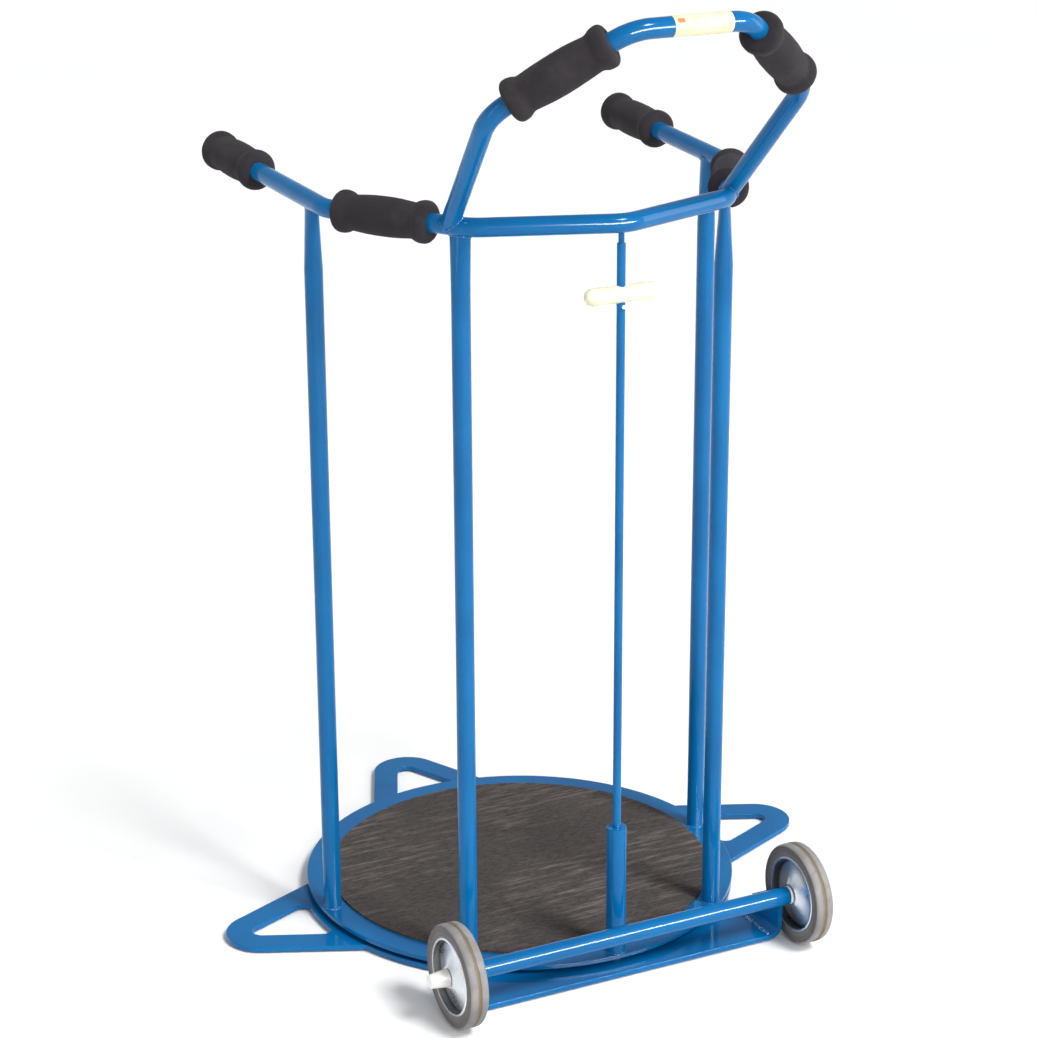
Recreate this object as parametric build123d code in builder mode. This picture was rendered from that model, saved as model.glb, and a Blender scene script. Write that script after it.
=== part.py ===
from build123d import *
import os
from math import cos, radians, sin

# Wheeled turntable for turning a standing person: a flat base with three carrying ears and two
# transport wheels, a disc that turns on a thin ball bearing, and a tubular frame with foam grips
# that stands on the disc. A sprung rod with a T-handle presses a brake pad on the base.
# Millimetres. The origin is on the turntable's axis at floor level, +Z up, the wheels towards -Y
# and their axle along X.

# Levels of the stack, from the floor up
pad_thickness = 3.0
base_thickness = 6.0
bearing_gap = 5.5
disc_thickness = 6.0
mat_thickness = 3.0
base_bottom = pad_thickness
base_top = base_bottom + base_thickness
disc_bottom = base_top + bearing_gap
disc_top = disc_bottom + disc_thickness

# Turntable: everything that stands on it is set in from its edge
disc_radius = 276.0
disc_rim = 31.0
post_inset = 13.0
front_post_angle = 40.0
edge_round = 1.0
mat_radius = disc_radius - disc_rim
station_radius = disc_radius - post_inset
front_post_x = station_radius * sin(radians(front_post_angle))
front_post_y = -station_radius * cos(radians(front_post_angle))

# Base plate: it follows the disc, with three ears and a straight front edge
base_inset = 1.0
ear_angles = (0.0, 90.0, 180.0)
ear_reach = 129.0
ear_tip_radius = 46.0
ear_half_angle = 24.0
ear_strip = 33.0
window_margin = 8.0
window_corner_radius = 10.0
front_reach = 21.0
front_section_depth = 62.0
base_radius = disc_radius - base_inset
window_inner_radius = base_radius + window_margin
ear_tip_distance = base_radius + ear_reach
ear_tip_centre = ear_tip_distance - ear_tip_radius
ear_root_radius = ear_tip_radius + ear_tip_centre * sin(radians(ear_half_angle))
front_edge_y = -(disc_radius + front_reach)
shoulder_y = front_edge_y + front_section_depth

# Rubber pads under the base
ear_pad_radius = 14.0
front_pad_radius = 18.0
front_pad_inset = 33.0
centre_pad_radius = 30.0
ear_pad_distance = ear_tip_distance - ear_strip / 2

# Pivot
pivot_radius = 8.0
pivot_bush_wall = 3.0
pivot_play = 0.05
washer_radius = 17.0
washer_thickness = 1.5
washer_recess_play = 1.5
washer_recess_radius = washer_radius + washer_recess_play
washer_recess_depth = disc_thickness / 2
bush_play = 0.3
screw_radius = 3.0
screw_length = 9.0

# Thin ball bearing between the plates
race_pitch_radius = 150.0
race_half_width = 15.0
race_thickness = 1.6
ball_radius = 1.8
ball_play = 0.3
ball_count = 24
cage_half_width = 7.0
cage_thickness = 1.2
cage_pocket_play = 0.1
rivet_radius = 2.0
rivet_count = 8
rivet_ring_radius = race_pitch_radius - 10.0
race_middle = base_top + bearing_gap / 2

# Tubes of the frame, and the posts' flattened tops
tube_radius = 11.0
tube_wall = 2.0
post_flat_length = 70.0
post_flat_half_width = tube_radius + 2.9
post_flat_half_thickness = tube_radius - 5.0

# User rail: its corners stand just outside the posts
rail_z = 926.0
rail_bend_radius = 45.0
rail_front_y = -(station_radius + 12.0)
rail_corner = (front_post_x - 5.0, front_post_y - 13.5)
rail_side_bend = (station_radius + 3.0, -51.0)
rail_end = (station_radius + 14.5, 262.0, rail_z + 13.3)

# Loop for the helper: it leans forward from the rail's sides, just behind the front corners
loop_lean = 47.2
loop_foot_from_corner = 26.3
loop_lower_spread = 16.0
loop_lower_up = 196.8
loop_upper_x = 70.0
loop_upper_up = 321.7
loop_bend_radius = 55.0
label_length = 70.0
label_centre_x = 10.0
label_thickness = 0.2
label_tilt = 15.0
label_wrap_behind = 3.0

# Foam grips
grip_length = 125.0
grip_collar_length = 20.0
grip_collar_radius = tube_radius + 13.0
grip_neck_radius = tube_radius + 8.8
grip_barrel_radius = tube_radius + 11.6
grip_neck_round = 3.0
grip_overhang = 3.0
side_grip_from_corner = 50.0
end_plug_head = 2.5
end_plug_depth = 18.0

# Wheels and axle
wheel_radius = 62.5
wheel_width = 25.0
wheel_lift = 2.0
wheel_side_play = 1.5
tyre_depth = 15.5
tyre_shoulder = 4.0
tread_groove_width = 2.0
tread_groove_depth = 1.0
rim_thickness = 4.0
rim_inset = 1.0
rim_lip_round = 1.5
web_half_thickness = 3.0
web_swell = 3.9
web_swell_reach = 10.6
hub_radius = 13.0
wheel_bush_wall = 3.0
axle_radius = 6.0
axle_play = 0.05
axle_setback = 9.5
axle_tube_radius = 11.0
axle_tube_wall = 2.5
axle_tube_half_length = 216.0
axle_bush_length = 20.0
inner_washer_thickness = 3.0
outer_washer_thickness = 1.5
outer_washer_gap = 0.5
cap_length = 22.0
cap_base_radius = axle_radius + 5.0
cap_tip_radius = axle_radius + 2.0
cap_bore_depth = 12.0
axle_y = front_edge_y - axle_setback
axle_z = wheel_radius + wheel_lift
rim_radius = wheel_radius - tyre_depth
rim_inner_radius = rim_radius - rim_thickness
wheel_x = axle_tube_half_length + inner_washer_thickness + wheel_side_play + wheel_width / 2

# Brackets that carry the axle, bent up from the base plate's front corners
bracket_bend_radius = 13.0
bracket_flat = 2.0
bracket_outer_x = axle_tube_half_length
bracket_rear_height = base_top + 27.0
bracket_top_height = axle_z
bracket_top_y = front_edge_y + 14.0
seam_x = bracket_outer_x - base_thickness / 2 - bracket_bend_radius - bracket_flat

# Brake: its socket stands on the disc's rim, in front of the middle
rod_radius = 5.0
rod_wall = 1.5
rod_play = 0.05
rod_gap_to_rail = 14.0
guide_pin_engagement = 30.0
socket_gap = 5.0
socket_wall = 2.0
socket_height = 165.5
guide_length = 12.0
brake_pad_radius = rod_radius + 1.0
brake_pad_thickness = 3.0
brake_pad_gap = 0.2
brake_hole_radius = brake_pad_radius + 0.75
holder_length = 12.0
holder_spigot = 10.0
collar_length = 6.0
collar_play = 1.5
collar_height = 73.5
spring_wire_radius = 0.9
spring_turns = 10
handle_drop = 83.0
handle_radius = 10.0
handle_length = 92.0
roll_pin_radius = 2.0
roll_pin_stand_out = 2.5
roll_pin_drop = 14.0
rod_bore_radius = rod_radius - rod_wall
guide_pin_radius = rod_bore_radius - rod_play
socket_radius = rod_radius + socket_gap + socket_wall


def mirrored(source):
    """The same piece on the other side of the YZ plane."""
    with BuildPart() as twin:
        mirror(source.part, about=Plane.YZ)
    return twin


def ring(bottom, height, outer_radius, inner_radius):
    """A flat ring around the turntable's axis."""
    with BuildPart() as flat_ring:
        with BuildSketch(Plane.XY.offset(bottom)):
            Circle(outer_radius)
            Circle(inner_radius, mode=Mode.SUBTRACT)
        extrude(amount=height)
    return flat_ring


# ---------------------------------------------------------------- base plate

with BuildSketch() as ear_outline:
    Circle(ear_root_radius)
    with Locations((ear_tip_centre, 0)):
        Circle(ear_tip_radius)
    make_hull()

with BuildSketch() as ear_window:
    add(ear_outline.sketch)
    offset(amount=-ear_strip, mode=Mode.REPLACE)
    Circle(window_inner_radius, mode=Mode.SUBTRACT)
    fillet(ear_window.vertices().group_by(Axis.X)[0], radius=window_corner_radius)

with BuildPart() as base_plate:
    with BuildSketch(Plane.XY.offset(base_bottom)):
        Circle(base_radius)
        with Locations((0, (front_edge_y + shoulder_y) / 2)):
            Rectangle(2 * seam_x, shoulder_y - front_edge_y)
        for angle in ear_angles:
            add(ear_outline.sketch, rotation=angle)
        for angle in ear_angles:
            add(ear_window.sketch, rotation=angle, mode=Mode.SUBTRACT)
    extrude(amount=base_thickness)
    fillet(base_plate.edges().group_by(Axis.Z)[-1], radius=edge_round)
    Hole(radius=pivot_radius)
    with PolarLocations(rivet_ring_radius, rivet_count):
        Hole(radius=rivet_radius)
base_plate.part.label = "base_plate"

# Rubber pads under the ears' tips, the front edge and the middle of the base
front_pad_x = seam_x - front_pad_inset
front_pad_y = (front_edge_y + shoulder_y) / 2
with BuildPart() as floor_pads:
    with BuildSketch(Plane.XY):
        for angle in ear_angles:
            with PolarLocations(ear_pad_distance, 1, start_angle=angle):
                Circle(ear_pad_radius)
        with Locations((-front_pad_x, front_pad_y), (front_pad_x, front_pad_y)):
            Circle(front_pad_radius)
        Circle(centre_pad_radius)
    extrude(amount=pad_thickness)
floor_pads.part.label = "floor_pads"

# ---------------------------------------------------------------- axle brackets

with BuildPart() as wheel_bracket_right:
    with BuildSketch(Plane.XZ.offset(-shoulder_y)):
        with BuildLine():
            FilletPolyline(
                (seam_x, base_bottom + base_thickness / 2),
                (bracket_outer_x - base_thickness / 2, base_bottom + base_thickness / 2),
                (bracket_outer_x - base_thickness / 2, bracket_top_height),
                radius=bracket_bend_radius,
            )
        trace(line_width=base_thickness)
    extrude(amount=shoulder_y - front_edge_y)
    with BuildSketch(Plane.YZ.offset(seam_x)):
        with BuildLine():
            Polyline(
                (shoulder_y, 0),
                (front_edge_y, 0),
                (front_edge_y, axle_z - 2 * axle_tube_radius),
                (axle_y + axle_tube_radius / 3, axle_z - axle_tube_radius),
                (axle_y + axle_tube_radius / 3, bracket_top_height),
                (bracket_top_y, bracket_top_height),
                (shoulder_y, bracket_rear_height),
                close=True,
            )
        make_face()
        with Locations((axle_y, axle_z)):
            Circle(axle_tube_radius, mode=Mode.SUBTRACT)
    extrude(amount=bracket_outer_x - seam_x, mode=Mode.INTERSECT)
wheel_bracket_left = mirrored(wheel_bracket_right)
wheel_bracket_right.part.label = "wheel_bracket_right"
wheel_bracket_left.part.label = "wheel_bracket_left"

# ---------------------------------------------------------------- axle

axle_plane = Plane(origin=(0, axle_y, axle_z), x_dir=(0, 1, 0), z_dir=(1, 0, 0))
axle_axis = Axis((0, axle_y, axle_z), (1, 0, 0))
axle_bush_radius = axle_tube_radius - axle_tube_wall
inner_washer_x = axle_tube_half_length
wheel_outer_x = wheel_x + wheel_width / 2
outer_washer_x = wheel_outer_x + outer_washer_gap
cap_x = outer_washer_x + outer_washer_thickness
axle_half_length = cap_x + cap_bore_depth

with BuildPart() as axle_tube:
    with BuildSketch(axle_plane.offset(-axle_tube_half_length)):
        Circle(axle_tube_radius)
        Circle(axle_bush_radius, mode=Mode.SUBTRACT)
    extrude(amount=2 * axle_tube_half_length)
axle_tube.part.label = "axle_tube"

with BuildPart() as axle_rod:
    with BuildSketch(axle_plane.offset(-axle_half_length)):
        Circle(axle_radius)
    extrude(amount=2 * axle_half_length)
    chamfer(axle_rod.edges().filter_by(GeomType.CIRCLE), length=edge_round)
axle_rod.part.label = "axle_rod"

with BuildPart() as axle_bushes:
    for start in (-axle_tube_half_length, axle_tube_half_length - axle_bush_length):
        with BuildSketch(axle_plane.offset(start)):
            Circle(axle_bush_radius)
            Circle(axle_radius, mode=Mode.SUBTRACT)
        extrude(amount=axle_bush_length)
axle_bushes.part.label = "axle_bushes"

with BuildPart() as axle_washers:
    for start, thickness in (
        (-inner_washer_x - inner_washer_thickness, inner_washer_thickness),
        (inner_washer_x, inner_washer_thickness),
        (-outer_washer_x - outer_washer_thickness, outer_washer_thickness),
        (outer_washer_x, outer_washer_thickness),
    ):
        with BuildSketch(axle_plane.offset(start)):
            Circle(axle_tube_radius)
            Circle(axle_radius, mode=Mode.SUBTRACT)
        extrude(amount=thickness)
axle_washers.part.label = "axle_washers"

# ---------------------------------------------------------------- wheels

# In a wheel's section, x runs outwards along the axle and y is the distance from the axle
wheel_section = Plane(origin=(wheel_x, axle_y, axle_z), x_dir=(1, 0, 0), z_dir=(0, -1, 0))
half_width = wheel_width / 2
rim_half_width = half_width - rim_inset
groove_half = tread_groove_width / 2
tread_bottom = wheel_radius - tread_groove_depth
wheel_bush_radius = axle_radius + axle_play + wheel_bush_wall
web_waist_x = web_half_thickness + web_swell
web_waist_radius = hub_radius + web_swell_reach

with BuildPart() as wheel_tyre_right:
    with BuildSketch(wheel_section):
        with BuildLine():
            Polyline(
                (-half_width, rim_radius),
                (-half_width, wheel_radius - tyre_shoulder),
                (-half_width + tyre_shoulder, wheel_radius),
                (-groove_half, wheel_radius),
                (-groove_half, tread_bottom),
                (groove_half, tread_bottom),
                (groove_half, wheel_radius),
                (half_width - tyre_shoulder, wheel_radius),
                (half_width, wheel_radius - tyre_shoulder),
                (half_width, rim_radius),
                close=True,
            )
        make_face()
    revolve(axis=axle_axis)
wheel_tyre_left = mirrored(wheel_tyre_right)
wheel_tyre_right.part.label = "wheel_tyre_right"
wheel_tyre_left.part.label = "wheel_tyre_left"

# Cast wheel centre: a rim, a web that swells towards the hub, and the hub
with BuildPart() as wheel_centre_right:
    with BuildSketch(wheel_section):
        with Locations((0, (rim_radius + rim_inner_radius) / 2)):
            RectangleRounded(2 * rim_half_width, rim_radius - rim_inner_radius, rim_lip_round)
        with Locations((0, rim_radius - rim_lip_round / 2)):
            Rectangle(2 * (rim_half_width - rim_lip_round), rim_lip_round)
        with BuildLine():
            Line((-half_width, wheel_bush_radius), (half_width, wheel_bush_radius))
            Line((half_width, wheel_bush_radius), (half_width, hub_radius))
            ThreePointArc(
                (half_width, hub_radius),
                (web_waist_x, web_waist_radius),
                (web_half_thickness, rim_inner_radius + rim_lip_round),
            )
            Line(
                (web_half_thickness, rim_inner_radius + rim_lip_round),
                (-web_half_thickness, rim_inner_radius + rim_lip_round),
            )
            ThreePointArc(
                (-web_half_thickness, rim_inner_radius + rim_lip_round),
                (-web_waist_x, web_waist_radius),
                (-half_width, hub_radius),
            )
            Line((-half_width, hub_radius), (-half_width, wheel_bush_radius))
        make_face()
    revolve(axis=axle_axis)
wheel_centre_left = mirrored(wheel_centre_right)
wheel_centre_right.part.label = "wheel_centre_right"
wheel_centre_left.part.label = "wheel_centre_left"

with BuildPart() as wheel_bush_right:
    with BuildSketch(axle_plane.offset(wheel_x - half_width)):
        Circle(wheel_bush_radius)
        Circle(axle_radius + axle_play, mode=Mode.SUBTRACT)
    extrude(amount=wheel_width)
wheel_bush_left = mirrored(wheel_bush_right)
wheel_bush_right.part.label = "wheel_bush_right"
wheel_bush_left.part.label = "wheel_bush_left"

with BuildPart() as axle_cap_right:
    with BuildSketch(axle_plane.offset(cap_x)):
        Circle(cap_base_radius)
    with BuildSketch(axle_plane.offset(cap_x + cap_length)):
        Circle(cap_tip_radius)
    loft()
    fillet(axle_cap_right.edges().sort_by(Axis.X)[-1], radius=2 * edge_round)
    with BuildSketch(axle_plane.offset(cap_x)):
        Circle(axle_radius)
    extrude(amount=cap_bore_depth, mode=Mode.SUBTRACT)
axle_cap_left = mirrored(axle_cap_right)
axle_cap_right.part.label = "axle_cap_right"
axle_cap_left.part.label = "axle_cap_left"

# ---------------------------------------------------------------- pivot

washer_bottom = disc_top - washer_recess_depth + bush_play
pivot_bush_radius = pivot_radius + pivot_play + pivot_bush_wall

with BuildPart() as pivot_post:
    with BuildSketch(Plane.XY.offset(base_bottom)):
        Circle(pivot_radius)
    extrude(amount=washer_bottom - base_bottom)
    with Locations((0, 0, washer_bottom)):
        Hole(radius=screw_radius, depth=screw_length)
pivot_post.part.label = "pivot_post"

pivot_bush = ring(
    disc_bottom, disc_thickness - washer_recess_depth, pivot_bush_radius, pivot_radius + pivot_play
)
pivot_bush.part.label = "pivot_bush"

with BuildPart() as pivot_washer:
    with BuildSketch(Plane.XY.offset(washer_bottom)):
        Circle(washer_radius)
    extrude(amount=washer_thickness)
    CounterSinkHole(radius=screw_radius, counter_sink_radius=screw_radius + washer_thickness)
pivot_washer.part.label = "pivot_washer"

with BuildPart() as pivot_screw:
    with BuildSketch(Plane.XY.offset(washer_bottom - screw_length)):
        Circle(screw_radius)
    extrude(amount=screw_length)
    with BuildSketch(Plane.XY.offset(washer_bottom)):
        Circle(screw_radius)
    with BuildSketch(Plane.XY.offset(washer_bottom + washer_thickness)):
        Circle(screw_radius + washer_thickness)
    loft()
pivot_screw.part.label = "pivot_screw"

# ---------------------------------------------------------------- ball bearing

groove_radius = ball_radius + ball_play

with BuildPart() as bearing_lower_race:
    with BuildSketch(Plane.XZ):
        with Locations((race_pitch_radius, base_top + race_thickness / 2)):
            Rectangle(2 * race_half_width, race_thickness)
        with Locations((race_pitch_radius, race_middle)):
            Circle(groove_radius, mode=Mode.SUBTRACT)
    revolve(axis=Axis.Z)
    with PolarLocations(rivet_ring_radius, rivet_count):
        Hole(radius=rivet_radius)
with BuildPart() as bearing_upper_race:
    mirror(bearing_lower_race.part, about=Plane.XY.offset(race_middle))
bearing_lower_race.part.label = "bearing_lower_race"
bearing_upper_race.part.label = "bearing_upper_race"

with BuildPart() as lower_race_rivets:
    with BuildSketch(Plane.XY.offset(base_bottom)):
        with PolarLocations(rivet_ring_radius, rivet_count):
            Circle(rivet_radius)
    extrude(amount=base_thickness + race_thickness)
lower_race_rivets.part.label = "lower_race_rivets"

with BuildPart() as upper_race_rivets:
    with BuildSketch(Plane.XY.offset(disc_bottom - race_thickness)):
        with PolarLocations(rivet_ring_radius, rivet_count):
            Circle(rivet_radius)
    extrude(amount=race_thickness + disc_thickness)
upper_race_rivets.part.label = "upper_race_rivets"

with BuildPart() as bearing_balls:
    with Locations((0, 0, race_middle)):
        with PolarLocations(race_pitch_radius, ball_count):
            Sphere(ball_radius)
bearing_balls.part.label = "bearing_balls"

with BuildPart() as bearing_cage:
    with BuildSketch(Plane.XY.offset(race_middle - cage_thickness / 2)):
        Circle(race_pitch_radius + cage_half_width)
        Circle(race_pitch_radius - cage_half_width, mode=Mode.SUBTRACT)
        with PolarLocations(race_pitch_radius, ball_count):
            Circle(ball_radius + cage_pocket_play, mode=Mode.SUBTRACT)
    extrude(amount=cage_thickness)
bearing_cage.part.label = "bearing_cage"

# ---------------------------------------------------------------- disc and mat

brake_x = 0.0
brake_y = -station_radius

with BuildPart() as turntable_disc:
    with BuildSketch(Plane.XY.offset(disc_bottom)):
        Circle(disc_radius)
        Circle(pivot_bush_radius, mode=Mode.SUBTRACT)
        with Locations((brake_x, brake_y)):
            Circle(brake_hole_radius, mode=Mode.SUBTRACT)
        with PolarLocations(rivet_ring_radius, rivet_count):
            Circle(rivet_radius, mode=Mode.SUBTRACT)
    extrude(amount=disc_thickness)
    with BuildSketch(Plane.XY.offset(disc_top)):
        Circle(washer_recess_radius)
    extrude(amount=-washer_recess_depth, mode=Mode.SUBTRACT)
    rim_edges = turntable_disc.edges().filter_by(GeomType.CIRCLE).sort_by(SortBy.RADIUS)[-2:]
    fillet(rim_edges, radius=edge_round)
turntable_disc.part.label = "turntable_disc"

with BuildPart() as standing_mat:
    with BuildSketch(Plane.XY.offset(disc_top)):
        Circle(mat_radius)
    extrude(amount=mat_thickness)
    chamfer(standing_mat.edges().sort_by(Axis.Z)[-1], length=edge_round)
standing_mat.part.label = "standing_mat"

# ---------------------------------------------------------------- user rail

corner_x, corner_y = rail_corner
side_x, side_y = rail_side_bend
end_x, end_y, end_z = rail_end
rail_right = [(corner_x, corner_y, rail_z), (side_x, side_y, rail_z), rail_end]
rail_left = [(-x, y, z) for x, y, z in reversed(rail_right)]
side_direction = Vector(side_x - corner_x, side_y - corner_y, 0).normalized()
arm_direction = Vector(end_x - side_x, end_y - side_y, end_z - rail_z).normalized()

with BuildLine() as rail_path:
    FilletPolyline(
        *rail_left, (0, rail_front_y, rail_z), *rail_right, radius=rail_bend_radius
    )
rail_start = Plane(origin=rail_path.line @ 0, z_dir=rail_path.line % 0)

with BuildPart() as user_rail:
    with BuildSketch(rail_start):
        Circle(tube_radius)
        Circle(tube_radius - tube_wall, mode=Mode.SUBTRACT)
    sweep(path=rail_path.line)
user_rail.part.label = "user_rail"

# The space that the rail takes up, used to shape what is welded to it
with BuildPart() as rail_space:
    with BuildSketch(rail_start):
        Circle(tube_radius)
    sweep(path=rail_path.line)

# ---------------------------------------------------------------- uprights


def upright(x, y, flat_direction):
    """A post from the disc to the rail, with its top squeezed flat along the rail."""
    round_plane = Plane(origin=(x, y, rail_z - tube_radius - post_flat_length), x_dir=flat_direction)
    flat_plane = Plane(origin=(x, y, rail_z), x_dir=flat_direction)
    with BuildPart() as post:
        for wall, mode in ((0, Mode.ADD), (tube_wall, Mode.SUBTRACT)):
            with BuildSketch(Plane(origin=(x, y, disc_top), x_dir=flat_direction)):
                Circle(tube_radius - wall)
            extrude(amount=round_plane.origin.Z - disc_top, mode=mode)
            with BuildSketch(round_plane):
                Circle(tube_radius - wall)
            with BuildSketch(flat_plane):
                Ellipse(post_flat_half_width - wall, post_flat_half_thickness - wall)
            loft(mode=mode)
        add(rail_space.part, mode=Mode.SUBTRACT)
    return post


upright_front_right = upright(front_post_x, front_post_y, side_direction)
upright_rear_right = upright(station_radius, 0, (arm_direction.X, arm_direction.Y, 0))
upright_front_left = mirrored(upright_front_right)
upright_rear_left = mirrored(upright_rear_right)
upright_front_right.part.label = "upright_front_right"
upright_rear_right.part.label = "upright_rear_right"
upright_front_left.part.label = "upright_front_left"
upright_rear_left.part.label = "upright_rear_left"

# ---------------------------------------------------------------- helper's loop

loop_foot = Vector(corner_x, corner_y, rail_z) + side_direction * loop_foot_from_corner
loop_lower_x = loop_foot.X + loop_lower_spread
loop_up = Vector(0, -cos(radians(loop_lean)), sin(radians(loop_lean)))
loop_normal = Vector(1, 0, 0).cross(loop_up)
loop_plane = Plane(origin=(0, loop_foot.Y, rail_z), x_dir=(1, 0, 0), z_dir=loop_normal)
loop_right = [(loop_upper_x, loop_upper_up), (loop_lower_x, loop_lower_up), (loop_foot.X, 0)]
loop_left = [(-x, up) for x, up in reversed(loop_right)]

with BuildLine(loop_plane) as loop_path:
    FilletPolyline(*loop_left, *loop_right, radius=loop_bend_radius)

# The rail's straight runs, which the loop's feet are cut to fit
with BuildPart() as rail_runs:
    with BuildSketch(Plane(origin=loop_foot, z_dir=side_direction)):
        Circle(tube_radius)
    extrude(amount=loop_foot_from_corner, both=True)
    mirror(about=Plane.YZ)

with BuildPart() as caregiver_loop:
    with BuildSketch(Plane(origin=loop_path.line @ 0, z_dir=loop_path.line % 0)):
        Circle(tube_radius)
        Circle(tube_radius - tube_wall, mode=Mode.SUBTRACT)
    sweep(path=loop_path.line)
    add(rail_runs.part, mode=Mode.SUBTRACT)
caregiver_loop.part.label = "caregiver_loop"

# Blank rating label wrapped around the front of the loop's top bar, a little more than half way
label_start = loop_plane.from_local_coords((label_centre_x - label_length / 2, loop_upper_up))
label_facing = Vector(0, -cos(radians(label_tilt)), sin(radians(label_tilt)))
with BuildPart() as rating_label:
    with BuildSketch(Plane(origin=label_start, x_dir=label_facing, z_dir=(1, 0, 0))):
        Circle(tube_radius + label_thickness)
        Circle(tube_radius, mode=Mode.SUBTRACT)
        with Locations((-label_wrap_behind, 0)):
            Rectangle(
                3 * tube_radius,
                3 * tube_radius,
                align=(Align.MIN, Align.CENTER),
                mode=Mode.INTERSECT,
            )
    extrude(amount=label_length)
rating_label.part.label = "rating_label"

# ---------------------------------------------------------------- foam grips


def foam_grip(start, direction):
    """A foam sleeve on a tube, with a rounded collar at each end and a barrel between."""
    around = Plane(origin=start, z_dir=direction)
    section = Plane(origin=start, x_dir=around.x_dir, z_dir=-around.y_dir)
    collar_end = grip_length - grip_collar_length
    with BuildPart() as grip:
        with BuildSketch(section) as profile:
            with BuildLine():
                Line((tube_radius, 0), (grip_neck_radius, 0))
                ThreePointArc(
                    (grip_neck_radius, 0),
                    (grip_collar_radius, grip_collar_length / 2),
                    (grip_neck_radius, grip_collar_length),
                )
                ThreePointArc(
                    (grip_neck_radius, grip_collar_length),
                    (grip_barrel_radius, grip_length / 2),
                    (grip_neck_radius, collar_end),
                )
                ThreePointArc(
                    (grip_neck_radius, collar_end),
                    (grip_collar_radius, grip_length - grip_collar_length / 2),
                    (grip_neck_radius, grip_length),
                )
                Line((grip_neck_radius, grip_length), (tube_radius, grip_length))
                Line((tube_radius, grip_length), (tube_radius, 0))
            make_face()
            neck_ends = (grip_collar_length, collar_end)
            necks = profile.vertices().filter_by(
                lambda corner: any(abs(corner.Y - neck_end) < 0.01 for neck_end in neck_ends)
            )
            fillet(necks, radius=grip_neck_round)
        revolve(axis=Axis(around.origin, around.z_dir))
    return grip


side_grip_foot = Vector(corner_x, corner_y, rail_z) + side_direction * side_grip_from_corner
rear_grip_foot = Vector(*rail_end) - arm_direction * (grip_length - grip_overhang)
loop_lower_point = loop_plane.from_local_coords((loop_lower_x, loop_lower_up))
loop_upper_point = loop_plane.from_local_coords((loop_upper_x, loop_upper_up))
loop_side = (loop_upper_point - loop_lower_point).normalized()
loop_side_middle = (loop_lower_point + loop_upper_point) * 0.5
loop_grip_foot = loop_side_middle - loop_side * (grip_length / 2)

rear_grip_right = foam_grip(rear_grip_foot, arm_direction)
side_grip_right = foam_grip(side_grip_foot, side_direction)
loop_grip_right = foam_grip(loop_grip_foot, loop_side)
rear_grip_left = mirrored(rear_grip_right)
side_grip_left = mirrored(side_grip_right)
loop_grip_left = mirrored(loop_grip_right)
rear_grip_right.part.label = "rear_grip_right"
side_grip_right.part.label = "side_grip_right"
loop_grip_right.part.label = "loop_grip_right"
rear_grip_left.part.label = "rear_grip_left"
side_grip_left.part.label = "side_grip_left"
loop_grip_left.part.label = "loop_grip_left"

# Plugs that close the rail's open ends
with BuildPart() as rail_end_plugs:
    with BuildSketch(Plane(origin=rail_end, z_dir=arm_direction)):
        Circle(tube_radius)
    extrude(amount=end_plug_head)
    with BuildSketch(Plane(origin=rail_end, z_dir=arm_direction)):
        Circle(tube_radius - tube_wall)
    extrude(amount=-end_plug_depth)
    mirror(about=Plane.YZ)
rail_end_plugs.part.label = "rail_end_plugs"

# ---------------------------------------------------------------- brake

rod_plane = Plane(origin=(brake_x, brake_y, 0))
pad_bottom = base_top + brake_pad_gap
pad_top = pad_bottom + brake_pad_thickness
rod_bottom = pad_top + holder_length
rod_top = rail_z - tube_radius - rod_gap_to_rail
socket_top = disc_top + socket_height
guide_bottom = socket_top - guide_length
guide_pin_top = rail_z - tube_radius / 3
collar_bottom = disc_top + collar_height
collar_radius = socket_radius - socket_wall - collar_play
spring_bottom = collar_bottom + collar_length
spring_height = guide_bottom - spring_bottom - 2 * spring_wire_radius
handle_z = rail_z - handle_drop
roll_pin_z = handle_z - roll_pin_drop
roll_pin_length = 2 * (rod_radius + roll_pin_stand_out)

with BuildPart() as brake_socket:
    with BuildSketch(rod_plane.offset(disc_top)):
        Circle(socket_radius)
        Circle(socket_radius - socket_wall, mode=Mode.SUBTRACT)
    extrude(amount=socket_top - disc_top)
brake_socket.part.label = "brake_socket"

with BuildPart() as brake_guide_bush:
    with BuildSketch(rod_plane.offset(guide_bottom)):
        Circle(socket_radius - socket_wall)
        Circle(rod_radius + rod_play, mode=Mode.SUBTRACT)
    extrude(amount=guide_length)
brake_guide_bush.part.label = "brake_guide_bush"

with BuildPart() as brake_spring:
    with BuildLine():
        coil = Helix(
            pitch=spring_height / spring_turns,
            height=spring_height,
            radius=(rod_radius + socket_radius - socket_wall) / 2,
            center=(brake_x, brake_y, spring_bottom + spring_wire_radius),
        )
    with BuildSketch(Plane(origin=coil @ 0, z_dir=coil % 0)):
        Circle(spring_wire_radius)
    sweep(path=coil)
brake_spring.part.label = "brake_spring"

with BuildPart() as rail_guide_pin:
    with BuildSketch(rod_plane.offset(rod_top - guide_pin_engagement)):
        Circle(guide_pin_radius)
    extrude(amount=guide_pin_top - rod_top + guide_pin_engagement)
    add(rail_space.part, mode=Mode.SUBTRACT)
rail_guide_pin.part.label = "rail_guide_pin"

with BuildPart() as brake_rod:
    with BuildSketch(rod_plane.offset(rod_bottom)):
        Circle(rod_radius)
        Circle(rod_bore_radius, mode=Mode.SUBTRACT)
    extrude(amount=rod_top - rod_bottom)
    with Locations((brake_x, brake_y, roll_pin_z)):
        Cylinder(roll_pin_radius, roll_pin_length, rotation=(90, 0, 0), mode=Mode.SUBTRACT)
brake_rod.part.label = "brake_rod"

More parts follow.
